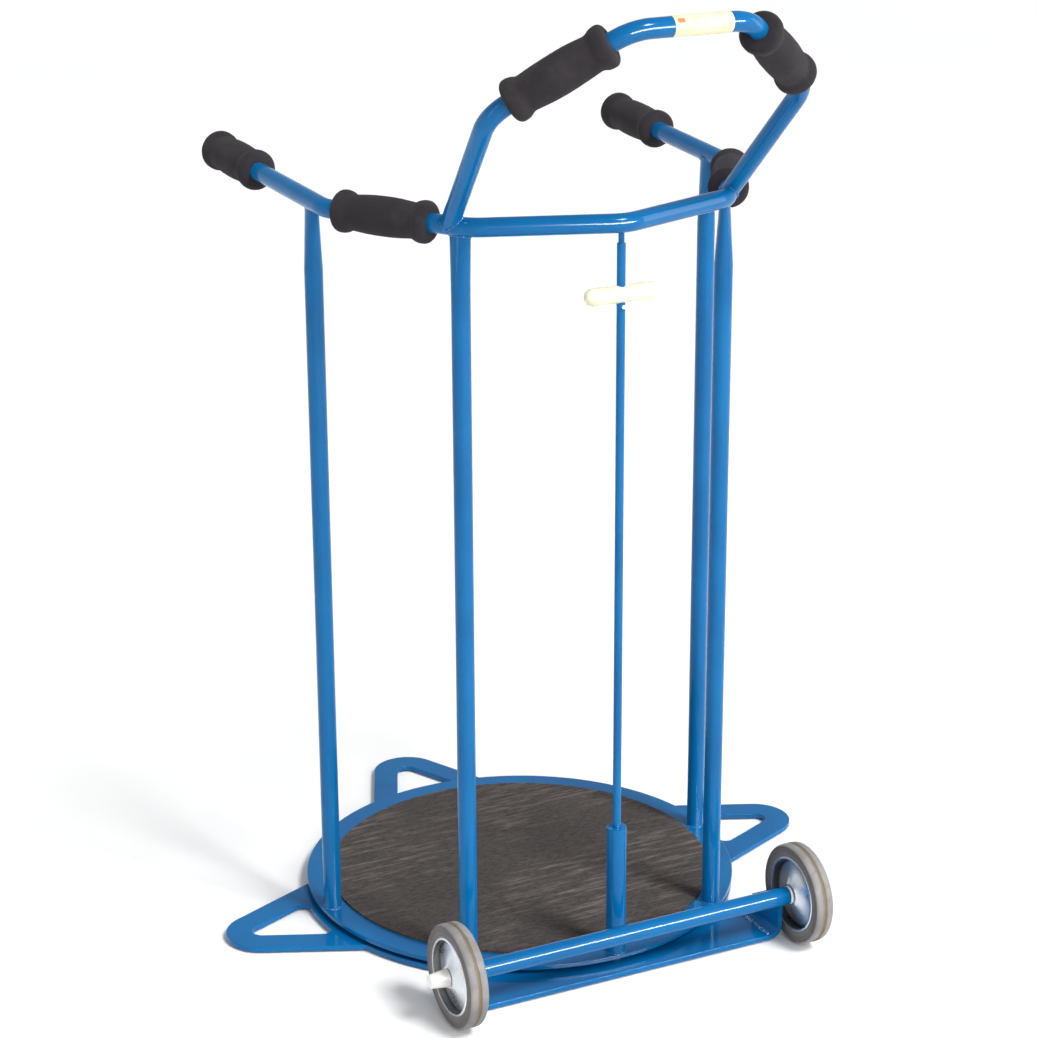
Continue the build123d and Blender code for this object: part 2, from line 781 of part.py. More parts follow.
with BuildPart() as t_handle:
    straight_length = handle_length - 2 * handle_radius
    with Locations((brake_x, brake_y, handle_z)):
        Cylinder(handle_radius, straight_length, rotation=(0, 90, 0))
    with Locations(
        (brake_x - straight_length / 2, brake_y, handle_z),
        (brake_x + straight_length / 2, brake_y, handle_z),
    ):
        Sphere(handle_radius)
    with Locations((brake_x, brake_y, handle_z)):
        Cylinder(rod_radius, 3 * handle_radius, mode=Mode.SUBTRACT)
t_handle.part.label = "t_handle"

with BuildPart() as roll_pin:
    with Locations((brake_x, brake_y, roll_pin_z)):
        Cylinder(roll_pin_radius, roll_pin_length, rotation=(90, 0, 0))
roll_pin.part.label = "roll_pin"

with BuildPart() as spring_collar:
    with BuildSketch(rod_plane.offset(collar_bottom)):
        Circle(collar_radius)
        Circle(rod_radius, mode=Mode.SUBTRACT)
    extrude(amount=collar_length)
spring_collar.part.label = "spring_collar"

with BuildPart() as brake_pad_holder:
    with BuildSketch(rod_plane.offset(pad_top)):
        Circle(brake_pad_radius)
    extrude(amount=holder_length)
    with BuildSketch(rod_plane.offset(rod_bottom)):
        Circle(rod_bore_radius)
    extrude(amount=holder_spigot)
brake_pad_holder.part.label = "brake_pad_holder"

with BuildPart() as brake_pad:
    with BuildSketch(rod_plane.offset(pad_bottom)):
        Circle(brake_pad_radius)
    extrude(amount=brake_pad_thickness)
brake_pad.part.label = "brake_pad"

# ---------------------------------------------------------------- files

pieces = (
    base_plate, floor_pads, wheel_bracket_left, wheel_bracket_right,
    axle_tube, axle_rod, axle_bushes, axle_washers, axle_cap_left, axle_cap_right,
    pivot_post, pivot_washer, pivot_screw, bearing_lower_race, lower_race_rivets,
    bearing_cage, bearing_balls,
    wheel_tyre_left, wheel_centre_left, wheel_bush_left,
    wheel_tyre_right, wheel_centre_right, wheel_bush_right,
    turntable_disc, standing_mat, bearing_upper_race, upper_race_rivets, pivot_bush,
    upright_front_left, upright_front_right, upright_rear_left, upright_rear_right,
    user_rail, rail_end_plugs, caregiver_loop, rating_label,
    rear_grip_left, rear_grip_right, side_grip_left, side_grip_right,
    loop_grip_left, loop_grip_right,
    brake_socket, brake_guide_bush, brake_spring, rail_guide_pin,
    brake_rod, t_handle, roll_pin, spring_collar, brake_pad_holder, brake_pad,
)

os.makedirs("parts", exist_ok=True)
for piece in pieces:
    export_step(piece.part, f"parts/{piece.part.label}.step")
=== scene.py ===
"""Looks for the wheeled turntable: painted steel, a ribbed mat, foam grips, two wheels and welds.

Metres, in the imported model's own frame: the turntable's axis is Z, the floor is z = 0, the wheels
are towards -Y and their axle runs along X.
"""

from math import atan2, ceil, cos, pi, radians, sin, sqrt

import bmesh
import bpy
import numpy as np
from mathutils import Matrix, Vector, noise
from mathutils.bvhtree import BVHTree


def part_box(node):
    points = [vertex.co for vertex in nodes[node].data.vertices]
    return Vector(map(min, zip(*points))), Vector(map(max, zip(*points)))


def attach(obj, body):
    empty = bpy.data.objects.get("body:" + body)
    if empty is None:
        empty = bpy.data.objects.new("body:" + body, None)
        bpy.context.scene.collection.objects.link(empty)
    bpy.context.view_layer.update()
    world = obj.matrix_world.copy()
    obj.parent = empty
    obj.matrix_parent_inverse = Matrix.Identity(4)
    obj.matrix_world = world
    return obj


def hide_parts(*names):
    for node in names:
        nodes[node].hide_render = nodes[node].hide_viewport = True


MM = 0.001

# A colour Mix node's sockets, by place
MIX_FACTOR = 0
MIX_FIRST = 6
MIX_SECOND = 7
MIX_RESULT = 2

# The dot product of a rounded and a true normal, on an open face and on a full edge
FACE_AGREEMENT = 0.995
EDGE_AGREEMENT = 0.93

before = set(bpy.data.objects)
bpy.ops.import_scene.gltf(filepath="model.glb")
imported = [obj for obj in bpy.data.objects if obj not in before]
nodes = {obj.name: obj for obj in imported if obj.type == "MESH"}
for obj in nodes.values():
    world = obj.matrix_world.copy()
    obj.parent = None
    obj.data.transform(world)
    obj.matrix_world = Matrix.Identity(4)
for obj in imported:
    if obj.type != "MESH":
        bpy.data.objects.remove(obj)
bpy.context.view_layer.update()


# ------------------------------------------------------------------ material layers


class Surface:
    """A Principled material, built up from layers in the object's own coordinates."""

    def __init__(self, name, **sockets):
        self.material = bpy.data.materials.new(name)
        self.material.use_nodes = True
        self.tree = self.material.node_tree
        self.shader = self.tree.nodes["Principled BSDF"]
        for socket, value in sockets.items():
            self.set(socket.replace("_", " "), value)
        self.place = self.node("ShaderNodeTexCoord").outputs["Object"]

    def connect(self, socket, value):
        """Links a layer to a socket, or sets a constant on it."""
        if isinstance(value, bpy.types.NodeSocket):
            self.tree.links.new(value, socket)
        else:
            socket.default_value = value

    def set(self, socket, value):
        self.connect(self.shader.inputs[socket], value)

    def node(self, kind, inputs=(), **settings):
        made = self.tree.nodes.new(kind)
        for name, value in settings.items():
            setattr(made, name, value)
        for name, value in dict(inputs).items():
            self.connect(made.inputs[name], value)
        return made

    def stretched(self, x, y, z):
        """The object's coordinates, scaled so that a texture is drawn out along an axis."""
        return self.node(
            "ShaderNodeMapping", {"Vector": self.place, "Scale": (x, y, z)}
        ).outputs["Vector"]

    def noise(self, scale, detail=3.0, roughness=0.5, place=None):
        inputs = {
            "Vector": place or self.place,
            "Scale": scale,
            "Detail": detail,
            "Roughness": roughness,
        }
        return self.node("ShaderNodeTexNoise", inputs).outputs[0]

    def cells(self, scale):
        inputs = {"Vector": self.place, "Scale": scale}
        return self.node("ShaderNodeTexVoronoi", inputs).outputs["Distance"]

    def ramp(self, factor, low, high, low_value=0.0, high_value=1.0, kind="SMOOTHSTEP"):
        """Runs from low_value to high_value as factor goes from low to high."""
        inputs = {
            "Value": factor,
            "From Min": low,
            "From Max": high,
            "To Min": low_value,
            "To Max": high_value,
        }
        made = self.node("ShaderNodeMapRange", inputs, interpolation_type=kind)
        return made.outputs["Result"]

    def math(self, operation, first, second=0.0):
        inputs = {0: first, 1: second}
        return self.node("ShaderNodeMath", inputs, operation=operation).outputs[0]

    def axis(self, name):
        return self.node("ShaderNodeSeparateXYZ", {0: self.place}).outputs[name]

    def mix(self, factor, first, second):
        """Blends two colours, each a colour or another layer."""
        made = self.node("ShaderNodeMix", data_type="RGBA")
        self.connect(made.inputs[MIX_FACTOR], factor)
        self.connect(made.inputs[MIX_FIRST], first)
        self.connect(made.inputs[MIX_SECOND], second)
        return made.outputs[MIX_RESULT]

    def edges(self, radius):
        """One near a sharp or rounded edge, zero on open faces."""
        rounded_normal = self.node("ShaderNodeBevel", {"Radius": radius}, samples=4).outputs[0]
        true_normal = self.node("ShaderNodeNewGeometry").outputs["Normal"]
        facing = self.node(
            "ShaderNodeVectorMath", {0: rounded_normal, 1: true_normal}, operation="DOT_PRODUCT"
        ).outputs["Value"]
        return self.ramp(facing, FACE_AGREEMENT, EDGE_AGREEMENT)

    def bump(self, *layers):
        """Layers of (height, strength, depth), each added to the one before."""
        normal = None
        for height, strength, depth in layers:
            inputs = {"Height": height, "Strength": strength, "Distance": depth}
            if normal is not None:
                inputs["Normal"] = normal
            normal = self.node("ShaderNodeBump", inputs).outputs["Normal"]
        self.set("Normal", normal)


def grey(value):
    return (value, value, value, 1.0)


# ------------------------------------------------------------------ materials


def blue_paint(name="blue_paint_look", ripple=0.0, painted_glints=0.0):
    """Gloss powder coat: clouded, specked, paler on the edges as wear and as a painted highlight,
    with a slight orange peel.

    ripple makes it lumpy, as over a weld; the glint strength sets its painted glints, bright pale
    specks that stand in for reflections off the bead.
    """
    deep_blue = (0.0, 0.1, 0.28, 1)
    full_blue = (0.0, 0.124, 0.33, 1)
    speck_blue = (0.001, 0.076, 0.225, 1)
    wear_and_highlight_blue = (0.05, 0.26, 0.52, 1)
    glint_colour = (0.62, 0.78, 0.9, 1)
    paint = Surface(
        name,
        Roughness=0.4,
        Coat_Weight=0.8,
        Coat_Roughness=0.09,
        Coat_IOR=1.33,
        Specular_IOR_Level=0.03,
    )
    cloud = paint.ramp(paint.noise(7.0, 4.0), 0.35, 0.65)
    tone = paint.mix(cloud, deep_blue, full_blue)
    speckle = paint.ramp(paint.noise(260.0, 4.0, 0.6), 0.62, 0.74, 0.0, 0.25)
    tone = paint.mix(speckle, tone, speck_blue)
    # Paler edges: partly paint wear and partly a painted highlight along the rounded edges, in the
    # colour.
    chipped = paint.ramp(paint.noise(55.0, 5.0), 0.52, 0.68, 0.0, 0.4)
    edge_wear_and_highlight = paint.math("MULTIPLY", paint.edges(1.2 * MM), chipped)
    tone = paint.mix(edge_wear_and_highlight, tone, wear_and_highlight_blue)
    # Painted glints: bright pale specks in the colour, standing in for reflections off a rippled
    # bead.
    bright = paint.ramp(paint.noise(620.0, 2.0), 0.55, 0.62, 0.0, painted_glints)
    tone = paint.mix(bright, tone, glint_colour)
    paint.set("Base Color", tone)
    paint.set("Roughness", paint.ramp(paint.noise(30.0), 0.3, 0.7, 0.34, 0.46))
    paint.bump(
        (paint.noise(420.0, 2.0), 0.06, 0.25 * MM),
        (paint.noise(60.0, 3.0), 0.012 + ripple, 0.6 * MM),
    )
    return paint.material


def mat_rubber():
    """Dark ribbed matting, dusty and scuffed in streaks along the ribs."""
    dark = (0.038, 0.034, 0.033, 1)
    light = (0.07, 0.062, 0.058, 1)
    dusty = (0.2, 0.172, 0.152, 1)
    rubber = Surface("mat_rubber_look", Roughness=0.85, Specular_IOR_Level=0.04)
    streaks = rubber.noise(1.0, 7.0, 0.66, rubber.stretched(14.0, 130.0, 1.0))
    patches = rubber.ramp(rubber.noise(5.0, 4.0, 0.55), 0.4, 0.62)
    fine = rubber.noise(1.0, 4.0, 0.6, rubber.stretched(110.0, 700.0, 1.0))
    tone = rubber.mix(rubber.ramp(fine, 0.3, 0.7), dark, light)
    dust = rubber.math("MULTIPLY", rubber.ramp(streaks, 0.46, 0.68), patches)
    tone = rubber.mix(rubber.math("MULTIPLY", dust, 0.6), tone, dusty)
    rubber.set("Base Color", tone)
    rubber.set("Roughness", rubber.ramp(dust, 0.0, 1.0, 0.75, 0.95))
    rubber.bump((fine, 0.4, 0.3 * MM), (rubber.noise(500.0), 0.2, 0.2 * MM))
    return rubber.material


def grip_foam():
    """Closed-cell foam: matt, finely pored with painted shade in the pores, a little paler in rubbed
    patches.
    """
    dark = (0.026, 0.0225, 0.0265, 1)
    pale = (0.036, 0.032, 0.037, 1)
    foam = Surface(
        "grip_foam_look",
        Roughness=0.95,
        Specular_IOR_Level=0.02,
        Sheen_Weight=0.05,
        Sheen_Roughness=0.6,
    )
    rubbed = foam.ramp(foam.noise(26.0, 5.0, 0.6), 0.42, 0.72)
    tone = foam.mix(rubbed, dark, pale)
    pores = foam.cells(1300.0)
    # Painted shade: the pore centres are darkened in the colour, as shade inside the pores.
    tone = foam.mix(foam.ramp(pores, 0.35, 0.05, 0.0, 0.5), tone, grey(0.008))
    foam.set("Base Color", tone)
    foam.bump(
        (foam.noise(130.0, 3.0), 0.3, 0.5 * MM),
        (pores, 0.5, 0.35 * MM),
        (foam.noise(1900.0, 2.0), 0.3, 0.2 * MM),
    )
    return foam.material


def grey_tyre():
    """Grey non-marking rubber: dirt in the middle groove, flanks darkened with painted shade, scuffed
    tread.
    """
    dark = (0.19, 0.184, 0.182, 1)
    light = (0.27, 0.263, 0.26, 1)
    scuffed = (0.12, 0.114, 0.108, 1)
    flank_shade_grey = (0.11, 0.1, 0.097, 1)
    brown_dirt = (0.16, 0.12, 0.058, 1)
    tyre = Surface("grey_tyre_look", Roughness=0.6, Specular_IOR_Level=0.15)
    low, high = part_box("wheel_tyre_right")
    half = (high.x - low.x) / 2
    from_centre_line = tyre.math("ABSOLUTE", tyre.axis("X"))
    from_middle = tyre.math(
        "ABSOLUTE", tyre.math("SUBTRACT", from_centre_line, (low.x + high.x) / 2)
    )
    scuffs = tyre.noise(90.0, 6.0, 0.65)
    broad = tyre.noise(24.0, 4.0)
    tone = tyre.mix(tyre.ramp(broad, 0.35, 0.7), dark, light)
    tone = tyre.mix(tyre.ramp(scuffs, 0.55, 0.75, 0.0, 0.5), tone, scuffed)
    # Painted shade: the flanks, which face away from the light, are darkened in the colour.
    flank = tyre.ramp(from_middle, half * 0.86, half * 0.93, 0.0, 0.8)
    tone = tyre.mix(flank, tone, flank_shade_grey)
    stain = tyre.noise(45.0, 5.0, 0.6)
    dirt_reach = tyre.ramp(stain, 0.35, 0.7, 3.0 * MM, 6.0 * MM)
    dirt = tyre.ramp(tyre.math("DIVIDE", from_middle, dirt_reach), 1.0, 0.1, 0.0, 0.85)
    tone = tyre.mix(dirt, tone, brown_dirt)
    tyre.set("Base Color", tone)
    tyre.set("Roughness", tyre.ramp(scuffs, 0.3, 0.7, 0.5, 0.72))
    tyre.bump((scuffs, 0.25, 0.3 * MM), (tyre.noise(700.0), 0.15, 0.15 * MM))
    return tyre.material


def cast_centre():
    """Silver wheel centre: satin metal, clouded and grimy in patches, with painted shade in the rim's
    recess.
    """
    silver = (0.6, 0.64, 0.67, 1)
    pale_silver = (0.78, 0.81, 0.84, 1)
    grimy = (0.3, 0.29, 0.28, 1)
    shadowed = (0.1, 0.095, 0.095, 1)
    cast = Surface("cast_centre_look", Metallic=1.0, Roughness=0.3)
    low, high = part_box("wheel_centre_right")
    centre = (low + high) / 2
    rim = (high.z - low.z) / 2
    forward = cast.math("SUBTRACT", cast.axis("Y"), centre.y)
    upward = cast.math("SUBTRACT", cast.axis("Z"), centre.z)
    squared = cast.math(
        "ADD", cast.math("POWER", forward, 2.0), cast.math("POWER", upward, 2.0)
    )
    reach = cast.math("DIVIDE", cast.math("SQRT", squared), rim)
    cloudy = cast.noise(30.0, 4.0)
    tone = cast.mix(cast.ramp(cloudy, 0.3, 0.7), silver, pale_silver)
    grime = cast.ramp(cast.noise(120.0, 5.0, 0.6), 0.6, 0.8, 0.0, 0.3)
    tone = cast.mix(grime, tone, grimy)
    # Painted shade: the rim's inner wall and the recess are darkened in the colour.
    recess_shade = cast.math(
        "MULTIPLY", cast.ramp(reach, 0.81, 0.92), cast.ramp(reach, 0.935, 0.95, 1.0, 0.0)
    )
    tone = cast.mix(cast.math("MULTIPLY", recess_shade, 0.85), tone, shadowed)
    cast.set("Base Color", tone)
    cast.set("Roughness", cast.ramp(cloudy, 0.3, 0.7, 0.26, 0.36))
    cast.bump((cast.noise(350.0, 2.0), 0.04, 0.15 * MM))
    return cast.material


def zinc_steel():
    """Bright zinc plating, brushed and slightly cloudy."""
    dull = (0.5, 0.51, 0.52, 1)
    bright = (0.72, 0.72, 0.71, 1)
    zinc = Surface("zinc_steel_look", Metallic=1.0, Roughness=0.35)
    brushed = zinc.noise(1.0, 4.0, 0.6, zinc.stretched(40.0, 900.0, 900.0))
    cloudy = zinc.noise(70.0, 4.0)
    zinc.set("Base Color", zinc.mix(cloudy, dull, bright))
    zinc.set("Roughness", zinc.ramp(cloudy, 0.3, 0.7, 0.28, 0.45))
    zinc.bump((brushed, 0.15, 0.1 * MM))
    return zinc.material


def moulded_plastic(name, tone, deep_tone, roughness, subsurface=0.0):
    """Moulded plastic: faint flow clouds, a fine moulding grain, dulled in patches."""
    light_reach = (6 * MM, 5 * MM, 3 * MM)
    plastic = Surface(name, Roughness=roughness)
    plastic.set("Subsurface Weight", subsurface)
    plastic.set("Subsurface Radius", light_reach)
    clouds = plastic.noise(60.0, 4.0)
    specks = plastic.ramp(plastic.noise(420.0, 4.0, 0.6), 0.66, 0.78, 0.0, 0.35)
    colour = plastic.mix(plastic.ramp(clouds, 0.3, 0.7), deep_tone, tone)
    plastic.set("Base Color", plastic.mix(specks, colour, deep_tone))
    plastic.set("Roughness", plastic.ramp(clouds, 0.3, 0.7, roughness * 0.8, roughness * 1.25))
    plastic.bump((plastic.noise(900.0, 2.0), 0.12, 0.1 * MM), (clouds, 0.06, 0.4 * MM))
    return plastic.material


def black_rubber():
    """Plain black rubber with a dusty bloom."""
    black = grey(0.022)
    dusty = (0.06, 0.056, 0.052, 1)
    rubber = Surface("black_rubber_look", Roughness=0.8)
    bloom = rubber.ramp(rubber.noise(80.0, 5.0), 0.45, 0.75)
    rubber.set("Base Color", rubber.mix(bloom, black, dusty))
    rubber.bump((rubber.noise(500.0, 3.0), 0.3, 0.3 * MM))
    return rubber.material


def bronze():
    """Plain bronze bush, dulled with oil."""
    clean = (0.55, 0.37, 0.17, 1)
    oiled = (0.3, 0.18, 0.08, 1)
    metal = Surface("bronze_look", Metallic=1.0, Roughness=0.4)
    oily = metal.ramp(metal.noise(140.0, 5.0), 0.4, 0.7)
    metal.set("Base Color", metal.mix(oily, clean, oiled))
    metal.bump((metal.noise(700.0), 0.15, 0.1 * MM))
    return metal.material


# Places on the label, as shares of its width and height
LABEL_SOFTNESS = 0.008
LABEL_FLASH_WIDTH = (0.05, 0.17)
LABEL_FLASH_HEIGHT = (0.72, 0.9)
LABEL_RULED_WIDTH = (0.07, 0.93)
LABEL_RULED_LINES = (0.6, 0.46, 0.32)
LABEL_RULE = 0.04
LABEL_BORDERS = (0.012, 0.978)
LABEL_BORDER = 0.01
LABEL_PRINT_STRENGTH = 0.5


def label_film():
    """Pale yellow film with a coloured flash at one end and ruled lines, and no lettering."""
    yellow = (0.7, 0.63, 0.4, 1)
    pale_yellow = (0.77, 0.72, 0.52, 1)
    flash_red = (0.83, 0.2, 0.06, 1)
    rule_orange = (0.75, 0.42, 0.16, 1)
    border_ochre = (0.72, 0.5, 0.2, 1)
    film = Surface("label_film_look", Roughness=0.35, Specular_IOR_Level=0.15)
    low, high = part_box("rating_label")
    along = film.ramp(film.axis("X"), low.x, high.x, kind="LINEAR")
    up = film.ramp(film.axis("Z"), low.z, high.z, kind="LINEAR")
    clouds = film.noise(120.0, 4.0)
    tone = film.mix(film.ramp(clouds, 0.3, 0.7), yellow, pale_yellow)

    def band(value, start, end):
        """One between start and end, zero outside them, with soft edges."""
        rising = film.ramp(value, start - LABEL_SOFTNESS, start + LABEL_SOFTNESS)
        falling = film.ramp(value, end - LABEL_SOFTNESS, end + LABEL_SOFTNESS, 1.0, 0.0)
        return film.math("MULTIPLY", rising, falling)

    flash = film.math("MULTIPLY", band(along, *LABEL_FLASH_WIDTH), band(up, *LABEL_FLASH_HEIGHT))
    tone = film.mix(flash, tone, flash_red)
    for height in LABEL_RULED_LINES:
        line = film.math(
            "MULTIPLY", band(along, *LABEL_RULED_WIDTH), band(up, height, height + LABEL_RULE)
        )
        tone = film.mix(film.math("MULTIPLY", line, LABEL_PRINT_STRENGTH), tone, rule_orange)
    for edge in LABEL_BORDERS:
        border = band(along, edge, edge + LABEL_BORDER)
        tone = film.mix(film.math("MULTIPLY", border, LABEL_PRINT_STRENGTH), tone, border_ochre)
    film.set("Base Color", tone)
    film.bump((clouds, 0.08, 0.2 * MM), (film.noise(30.0), 0.1, 0.5 * MM))
    return film.material


def floor_paper():
    """Seamless pale studio paper."""
    paper = Surface("floor_paper", Roughness=0.9, Specular_IOR_Level=0.1)
    tone = paper.ramp(paper.noise(0.6, 2.0), 0.3, 0.7)
    paper.set("Base Color", paper.mix(tone, grey(0.87), grey(0.89)))
    return paper.material


materials = {
    "blue_paint": blue_paint(),
    "mat_rubber": mat_rubber(),
    "grip_foam": grip_foam(),
    "grey_tyre": grey_tyre(),
    "cast_centre": cast_centre(),
    "zinc_steel": zinc_steel(),
    "black_rubber": black_rubber(),
    "bronze": bronze(),
    "black_plastic": moulded_plastic(
        "black_plastic_look", (0.035, 0.035, 0.036, 1), (0.02, 0.02, 0.021, 1), 0.45
    ),
    "cream_plastic": moulded_plastic(
        "cream_plastic_look", (0.9, 0.89, 0.84, 1), (0.8, 0.78, 0.7, 1), 0.38, 0.2
    ),
    "handle_plastic": moulded_plastic(
        "handle_plastic_look", (0.8, 0.79, 0.62, 1), (0.74, 0.71, 0.46, 1), 0.25, 0.15
    ),
    "label_film": label_film(),
}
# Both weld looks carry painted glints, bright specks standing in for reflections off the beads; the
# seam's are the strongest.
weld_paint = blue_paint("weld_paint_look", ripple=0.25, painted_glints=0.12)
seam_paint = blue_paint("seam_paint_look", ripple=0.25, painted_glints=0.8)

for node in nodes.values():
    node.data.materials[0] = materials[node.data.materials[0].name]


# ------------------------------------------------------------------ mesh helpers

# Rounds that turn a first guess into the long axis of a set of points
AXIS_ROUNDS = 12


def grid_faces(rows, columns, wrap_rows=False, wrap_columns=False):
    """The quads that join a grid of points, numbered row by row."""
    faces = []
    for row in range(rows if wrap_rows else rows - 1):
        for column in range(columns if wrap_columns else columns - 1):
            next_row = (row + 1) % rows
            next_column = (column + 1) % columns
            faces.append((
                row * columns + column,
                row * columns + next_column,
                next_row * columns + next_column,
                next_row * columns + column,
            ))
    return faces


def add_piece(name, points, faces, body, slot, sharp_angle=40):
    """A closed mesh in its slot's material, riding on a body."""
    mesh = bpy.data.meshes.new(name)
    mesh.from_pydata([tuple(point) for point in points], [], faces)
    shape = bmesh.new()
    shape.from_mesh(mesh)
    bmesh.ops.recalc_face_normals(shape, faces=shape.faces)
    shape.to_mesh(mesh)
    shape.free()
    mesh.shade_smooth()
    mesh.set_sharp_from_angle(angle=radians(sharp_angle))
    mesh.materials.append(materials[slot])
    piece = bpy.data.objects.new(name, mesh)
    bpy.context.scene.collection.objects.link(piece)
    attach(piece, body)
    return piece


def rounded(corners, steps):
    """A closed outline of (x, y, cut) corners, each rounded off from a distance cut on both sides."""
    outline = []
    for index, (x, y, cut) in enumerate(corners):
        corner = Vector((x, y))
        if cut == 0:
            outline.append(corner)
            continue
        before = Vector(corners[index - 1][:2]) - corner
        after = Vector(corners[(index + 1) % len(corners)][:2]) - corner
        start = corner + before.normalized() * cut
        end = corner + after.normalized() * cut
        for step in range(steps + 1):
            share = step / steps
            outline.append(
                start * (1 - share) ** 2 + corner * 2 * share * (1 - share) + end * share**2
            )
    return outline


def lathe(name, outline, origin, direction, body, slot, segments, swell=None):
    """A closed outline of (along, radius) points, turned around an axis.

    swell gives how far a point moves outwards, from its place and its radius.
    """
    direction = Vector(direction).normalized()
    side = direction.orthogonal().normalized()
    other_side = direction.cross(side)
    points = []
    for along, radius in outline:
        for segment in range(segments):
            angle = 2 * pi * segment / segments
            outwards = side * cos(angle) + other_side * sin(angle)
            point = origin + direction * along + outwards * radius
            if swell:
                point += outwards * swell(point, radius)
            points.append(point)
    faces = grid_faces(len(outline), segments, wrap_rows=True, wrap_columns=True)
    return add_piece(name, points, faces, body, slot)


def long_axis(node):
    """The middle, direction and length of a turned CAD node, from its own points."""
    points = [vertex.co for vertex in nodes[node].data.vertices]
    low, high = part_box(node)
    middle = (low + high) / 2
    direction = max((point - middle for point in points), key=lambda offset: offset.length)
    for _ in range(AXIS_ROUNDS):
        direction = sum(
            ((point - middle) * (point - middle).dot(direction) for point in points), Vector()
        ).normalized()
    reach = max((point - middle).dot(direction) for point in points)
    return middle, direction, 2 * reach


# ------------------------------------------------------------------ standing mat

RIB_PITCH = 2.8 * MM
RIB_HEIGHT = 0.9 * MM
# Across one rib: the share of the pitch, and the share of the height there
RIB_PROFILE = ((0.0, 0.0), (0.3, 0.0), (0.42, 0.85), (0.5, 1.0), (0.78, 1.0), (0.88, 0.85))
MAT_COLUMNS = 24
# The farthest line from the mat's middle, as a share of its radius
MAT_LAST_LINE = 0.9998
WEAR_DEPTH = 0.12 * MM
WEAR_ALONG_RIBS = 45
WEAR_ACROSS_RIBS = 260


def standing_mat():
    """A round of ribbed matting: the ribs run along X and end at the mat's edge."""
    low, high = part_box("standing_mat")
    radius = (high.x - low.x) / 2
    lines = []
    rib_count = ceil(2 * radius / RIB_PITCH)
    for rib in range(rib_count):
        for share, height in RIB_PROFILE:
            y = -radius + (rib + share) * RIB_PITCH
            if abs(y) < radius * MAT_LAST_LINE:
                lines.append((y, high.z - RIB_HEIGHT * (1 - height)))
    points = []
    for y, z in lines:
        half = sqrt(radius**2 - y**2)
        points.append(Vector((-half, y, low.z)))
        for column in range(MAT_COLUMNS + 1):
            x = half * (2 * column / MAT_COLUMNS - 1)
            wear_place = Vector((x * WEAR_ALONG_RIBS, y * WEAR_ACROSS_RIBS, 0))
            wear = noise.noise(wear_place) * WEAR_DEPTH
            points.append(Vector((x, y, min(z + wear, high.z))))
        points.append(Vector((half, y, low.z)))
    columns = MAT_COLUMNS + 3
    faces = grid_faces(len(lines), columns, wrap_columns=True)
    faces.append(tuple(range(columns)))
    faces.append(tuple((len(lines) - 1) * columns + column for column in range(columns)))
    mat = add_piece("ribbed_mat", points, faces, "turntable", "mat_rubber", sharp_angle=50)
    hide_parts("standing_mat")


standing_mat()


# ------------------------------------------------------------------ foam grips

# Radii
GRIP_BORE = 11.1 * MM
GRIP_COLLAR = 24.4 * MM
GRIP_NECK = 20.4 * MM
GRIP_BARREL = 22.7 * MM
# Lengths in from a grip's end
GRIP_LIP = 4.5 * MM
GRIP_COLLAR_LENGTH = 13.5 * MM
GRIP_NECK_PLACE = 20.5 * MM
# Where the barrel is widest, as a share of half the grip's length
GRIP_BARREL_PLACE = 0.25
GRIP_SEGMENTS = 96
GRIP_CORNER_STEPS = 8
FOAM_UNEVENNESS = 0.45 * MM
FOAM_SET_BACK = 0.35
SLOW_WAVE = 38
QUICK_WAVE = 160
SLOW_SHARE = 0.75
QUICK_SHARE = 0.25
# Points nearer the axis than this share of the neck are in the bore
BORE_LIMIT = 0.8


def foam_swell(point, radius):
    """Foam is never quite round: a slow wave and a small one, mostly inwards, none in the bore."""
    if radius < GRIP_NECK * BORE_LIMIT:
        return 0.0
    slow = noise.noise(point * SLOW_WAVE)
    quick = noise.noise(point * QUICK_WAVE)
    return FOAM_UNEVENNESS * (slow * SLOW_SHARE + quick * QUICK_SHARE - FOAM_SET_BACK)


def foam_grip(node):
    """A foam sleeve with a rolled collar at each end and a slightly swollen barrel."""
    middle, direction, length = long_axis(node)
    half = length / 2
    # Corners as (along, radius, cut)
    one_end = [
        (half, GRIP_BORE, 0),
        (half, GRIP_COLLAR - GRIP_LIP, 3.5 * MM),
        (half - GRIP_LIP, GRIP_COLLAR, 3.0 * MM),
        (half - GRIP_COLLAR_LENGTH, GRIP_COLLAR, 4.5 * MM),
        (half - GRIP_NECK_PLACE, GRIP_NECK, 4.0 * MM),
        (half * GRIP_BARREL_PLACE, GRIP_BARREL, 14 * MM),
    ]
    other_end = [(-along, radius, cut) for along, radius, cut in reversed(one_end)]
    grip = lathe(
        node + "_foam",
        rounded(one_end + other_end, GRIP_CORNER_STEPS),
        middle,
        direction,
        "turntable",
        "grip_foam",
        GRIP_SEGMENTS,
        foam_swell,
    )
    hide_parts(node)


for place in ("rear", "side", "loop"):
    for hand in ("left", "right"):
        foam_grip(f"{place}_grip_{hand}")


# ------------------------------------------------------------------ wheels

TYRE_SHOULDER = 3.0 * MM
TREAD_CROWN = 0.4 * MM
SHOULDER_INSET = 0.3 * MM
TYRE_FLANK_INSET = 1.2 * MM
# The small step where the flank meets the wheel centre
FLANK_STEP = 0.8 * MM
FLANK_STEP_HEIGHT = 1.5 * MM
FLANK_RING = 1.6 * MM
FLANK_RING_HEIGHT = 0.5 * MM
GROOVE_HALF = 2.2 * MM
GROOVE_DEPTH = 1.0 * MM
# The groove's floor, as a share of its width at the tread
GROOVE_FLOOR = 0.55
TYRE_SEGMENTS = 160
TYRE_CORNER_STEPS = 4


